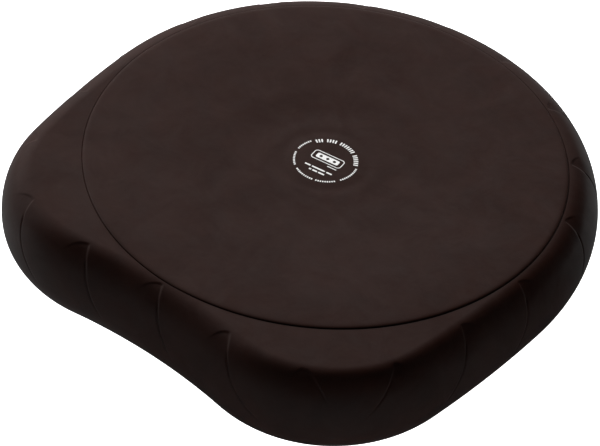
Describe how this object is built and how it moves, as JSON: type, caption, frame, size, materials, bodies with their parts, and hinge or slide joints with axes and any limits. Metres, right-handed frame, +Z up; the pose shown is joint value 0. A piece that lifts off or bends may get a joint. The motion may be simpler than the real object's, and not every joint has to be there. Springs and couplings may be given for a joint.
{
  "type": "wobble cushion",
  "caption": "Wedge-shaped inflatable wobble cushion with a round grooved seat disc, two rear lobes with a shallow coccyx recess, ribbed rounded wall and a plugged air valve.",
  "frame": {"origin": "centre of the bounding box's bottom face, on the floor under the middle of the cushion", "axes": "+Z up, -Y towards the thick edge with the coccyx recess, +Y towards the thin front edge, +X to the sitter's right when facing +Y"},
  "size_m": [0.37, 0.3718, 0.0688],
  "materials": {
    "shell": "satin moulded soft PVC, dark brown-black",
    "print": "white printing ink",
    "valve_rubber": "matte black rubber",
    "valve_plug": "dark moulded plastic"
  },
  "bodies": {
    "base": {"base_panel": "shell", "lower_wall": "shell"},
    "rocker": {"waist_band": "shell", "upper_wall": "shell", "valve_boss": "shell", "valve_sleeve": "valve_rubber"},
    "rim": {"top_rim": "shell", "seat_membrane": "shell"},
    "seat": {"seat_pad": "shell", "print_ring": "print", "print_badge": "print", "print_lines": "print"},
    "plug": {"valve_plug": "valve_plug"}
  },
  "joints": [
    {"name": "seat_roll", "type": "hinge", "parent": "base", "child": "rocker", "pos_m": [0, 0, 0.024], "axis": [0, 1, 0], "range_deg": [-3, 3], "stiffness_Nm_per_rad": 250, "deforming": ["lower_wall"]},
    {"name": "seat_pitch", "type": "hinge", "parent": "rocker", "child": "rim", "pos_m": [0, 0, 0.024], "axis": [1, 0, 0], "range_deg": [-3, 3], "stiffness_Nm_per_rad": 250, "deforming": ["upper_wall"]},
    {"name": "seat_sink", "type": "slide", "parent": "rim", "child": "seat", "axis": [0, 0, -1], "range_m": [0, 0.012], "stiffness_N_per_m": 40000, "deforming": ["seat_membrane"]},
    {"name": "valve_pull", "type": "slide", "parent": "rocker", "child": "plug", "axis": [-1, 0, 0], "range_m": [0, 0.025]}
  ]
}
